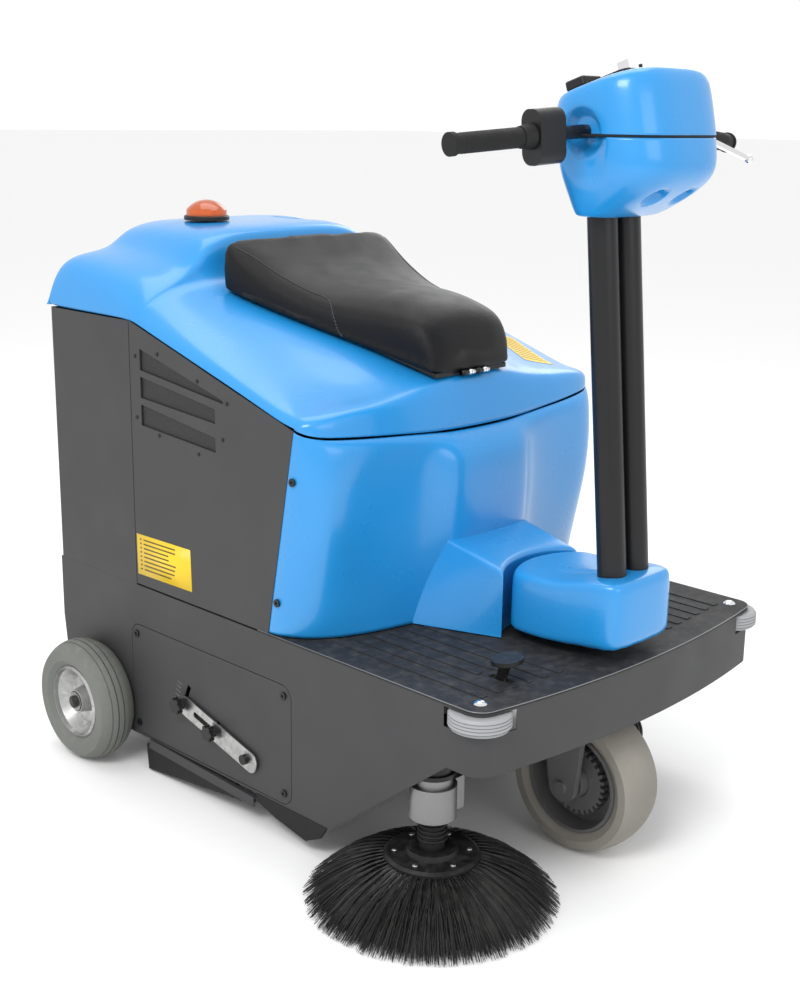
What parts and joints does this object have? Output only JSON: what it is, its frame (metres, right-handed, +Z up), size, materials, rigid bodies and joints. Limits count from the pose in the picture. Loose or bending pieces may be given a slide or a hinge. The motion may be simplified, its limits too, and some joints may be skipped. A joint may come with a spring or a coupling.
{
  "type": "ride-on floor sweeper",
  "caption": "Compact ride-on floor sweeper with a handlebar on a swivelling front wheel, a hinged hood and seat, side brush, cylinder broom and rear hopper.",
  "frame": {"origin": "on the floor, on the centre plane, midway between the front and rear axles", "axes": "+Z up, -Y the driving direction towards the handlebar, -X the machine's right-hand side with the side brush"},
  "size_m": [1.079, 1.349, 1.4364],
  "materials": {
    "powder_grey": "fine textured powder coat",
    "blue_moulding": "glossy moulded plastic",
    "black_mesh": "matt",
    "black_vinyl": "grained vinyl",
    "black_plastic": "matt moulded plastic",
    "orange_lens": "translucent",
    "black_metal": "satin black paint",
    "cast_grey": "as cast",
    "zinc": "galvanised",
    "chromed": "polished",
    "cast_alloy": "as cast",
    "grey_rubber": "ribbed rubber",
    "worn_rubber": "worn rubber",
    "black_rubber": "matt",
    "pale_roller": "ribbed",
    "bristle": "coarse fibres",
    "paper_filter": "pleated"
  },
  "bodies": {
    "chassis": {"chassis_shell": "powder_grey", "platform_deck": "powder_grey", "steering_bearing": "cast_grey", "rear_stub_axles": "zinc", "right_side_panel": "powder_grey", "left_side_panel": "powder_grey", "rear_cover": "powder_grey", "vent_grilles": "black_mesh", "front_body": "blue_moulding", "cover_plates": "powder_grey", "broom_motor": "black_metal", "flap_rails": "zinc", "rubber_flaps": "black_rubber", "dome_bolts": "chromed", "black_screws": "black_metal", "batteries": "black_plastic", "dust_filter": "paper_filter", "vacuum_fan": "black_plastic"},
    "steering": {"front_fork": "cast_grey", "column_tubes": "black_metal", "column_cover": "blue_moulding", "head_lower": "blue_moulding", "head_upper": "blue_moulding", "dash_panel": "black_plastic", "display": "black_plastic", "handlebar": "black_metal", "left_grip": "black_rubber", "throttle_housing": "black_plastic", "brake_bracket": "zinc", "drive_motor": "black_metal"},
    "front_wheel": {"front_rim": "black_metal", "front_tyre": "worn_rubber"},
    "throttle": {"throttle_grip": "black_rubber"},
    "brake": {"brake_lever": "chromed"},
    "ignition": {"key": "chromed"},
    "horn": {"horn_button": "black_plastic"},
    "right_wheel": {"right_rear_rim": "zinc", "right_rear_tyre": "grey_rubber"},
    "left_wheel": {"left_rear_rim": "zinc", "left_rear_tyre": "grey_rubber"},
    "arm": {"brush_arm": "cast_alloy", "brush_motor": "black_metal"},
    "side_brush": {"brush_hub": "black_plastic", "brush_bristles": "bristle"},
    "broom_frame": {"broom_arms": "black_metal", "height_lever": "zinc"},
    "broom": {"broom_core": "black_plastic", "broom_bristles": "bristle"},
    "knob_upper": {"upper_knob": "black_plastic"},
    "knob_lower": {"lower_knob": "black_plastic"},
    "roller_right": {"right_roller": "pale_roller"},
    "roller_left": {"left_roller": "pale_roller"},
    "lid": {"hood": "blue_moulding", "beacon_base": "black_plastic", "beacon_lens": "orange_lens"},
    "seat": {"seat_pan": "black_metal", "seat_cushion": "black_vinyl"},
    "pedal_right": {"right_pedal": "chromed"},
    "pedal_left": {"left_pedal": "black_metal"},
    "drawer": {"hopper": "powder_grey"}
  },
  "joints": [
    {"name": "steering_turn", "type": "hinge", "parent": "chassis", "child": "steering", "pos_m": [0, -0.492, 0.4], "axis": [0, 0, 1], "range_deg": [-45, 45]},
    {"name": "front_wheel_roll", "type": "hinge", "parent": "steering", "child": "front_wheel", "pos_m": [0, -0.492, 0.14], "axis": [1, 0, 0], "continuous": true},
    {"name": "throttle_twist", "type": "hinge", "parent": "steering", "child": "throttle", "pos_m": [-0.21239, -0.49304, 1.3138], "axis": [-0.9832, 0.1663, -0.075], "range_deg": [0, 70], "stiffness_Nm_per_rad": 0.3},
    {"name": "brake_squeeze", "type": "hinge", "parent": "steering", "child": "brake", "pos_m": [0.17896, -0.53269, 1.31635], "axis": [0, 0, 1], "range_deg": [0, 10], "stiffness_Nm_per_rad": 3},
    {"name": "key_turn", "type": "hinge", "parent": "steering", "child": "ignition", "pos_m": [-0.03, -0.528, 1.40444], "axis": [0, 0.3058, 0.9521], "range_deg": [0, 60]},
    {"name": "horn_press", "type": "slide", "parent": "steering", "child": "horn", "axis": [0, -0.3058, -0.9521], "range_m": [0, 0.003], "stiffness_N_per_m": 300},
    {"name": "right_wheel_roll", "type": "hinge", "parent": "chassis", "child": "right_wheel", "pos_m": [-0.455, 0.492, 0.13], "axis": [1, 0, 0], "continuous": true},
    {"name": "left_wheel_roll", "type": "hinge", "parent": "chassis", "child": "left_wheel", "pos_m": [0.455, 0.492, 0.13], "axis": [1, 0, 0], "continuous": true},
    {"name": "brush_lift", "type": "hinge", "parent": "chassis", "child": "arm", "pos_m": [-0.302, -0.17, 0.3], "axis": [-1, 0, 0], "range_deg": [0, 8]},
    {"name": "brush_spin", "type": "hinge", "parent": "arm", "child": "side_brush", "pos_m": [-0.354, -0.431, 0.1], "axis": [0, 0, 1], "continuous": true},
    {"name": "broom_lift", "type": "hinge", "parent": "chassis", "child": "broom_frame", "pos_m": [0, 0.008, 0.138], "axis": [1, 0, 0], "range_deg": [0, 9]},
    {"name": "broom_spin", "type": "hinge", "parent": "broom_frame", "child": "broom", "pos_m": [0, 0.15, 0.118], "axis": [1, 0, 0], "continuous": true},
    {"name": "upper_knob_turn", "type": "hinge", "parent": "broom_frame", "child": "knob_upper", "pos_m": [-0.413, 0.20698, 0.19132], "axis": [1, 0, 0], "continuous": true},
    {"name": "lower_knob_turn", "type": "hinge", "parent": "broom_frame", "child": "knob_lower", "pos_m": [-0.413, 0.10556, 0.16414], "axis": [1, 0, 0], "continuous": true},
    {"name": "right_roller_turn", "type": "hinge", "parent": "chassis", "child": "roller_right", "pos_m": [-0.372, -0.55, 0.385], "axis": [0, 0, 1], "continuous": true},
    {"name": "left_roller_turn", "type": "hinge", "parent": "chassis", "child": "roller_left", "pos_m": [0.372, -0.55, 0.385], "axis": [0, 0, 1], "continuous": true},
    {"name": "hood_lift", "type": "hinge", "parent": "chassis", "child": "lid", "pos_m": [0, 0.649, 0.945], "axis": [-1, 0, 0], "range_deg": [0, 65]},
    {"name": "seat_tilt", "type": "hinge", "parent": "lid", "child": "seat", "pos_m": [0, -0.184, 0.87313], "axis": [1, 0, 0], "range_deg": [0, 60]},
    {"name": "right_pedal_press", "type": "hinge", "parent": "chassis", "child": "pedal_right", "pos_m": [-0.262, -0.422, 0.377], "axis": [1, 0, 0], "range_deg": [0, 12], "stiffness_Nm_per_rad": 6},
    {"name": "left_pedal_press", "type": "hinge", "parent": "chassis", "child": "pedal_left", "pos_m": [0.292, -0.138, 0.377], "axis": [1, 0, 0], "range_deg": [0, 12], "stiffness_Nm_per_rad": 6},
    {"name": "hopper_draw", "type": "slide", "parent": "chassis", "child": "drawer", "axis": [0, 1, 0], "range_m": [0, 0.3]}
  ]
}
